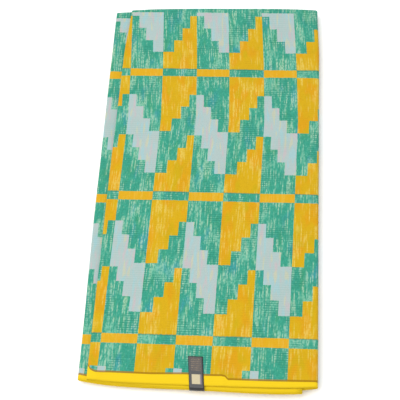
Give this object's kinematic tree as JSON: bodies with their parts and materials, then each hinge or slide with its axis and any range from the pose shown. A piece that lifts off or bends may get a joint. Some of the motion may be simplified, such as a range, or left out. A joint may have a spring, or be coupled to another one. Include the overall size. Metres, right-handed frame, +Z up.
{
  "type": "folded kente cloth",
  "caption": "Length of cotton printed in the stepped kente pattern, doubled and folded back and forth into a flat bundle, with a small label bent over its near edge.",
  "frame": {"origin": "middle of the underside of the folded bundle, on the surface that it rests on", "axes": "+X across the bundle to the right, +Y from the selvedge end to the doubling fold, +Z up"},
  "size_m": [0.3134, 0.6, 0.0179],
  "materials": {
    "printed_cotton": "plain woven cotton, printed teal, yellow and pale grey, slightly crisp",
    "black_label": "satin-woven black tape with a dull gold ornament"
  },
  "bodies": {
    "root": {"cloth": "printed_cotton", "label": "black_label"}
  },
  "joints": []
}
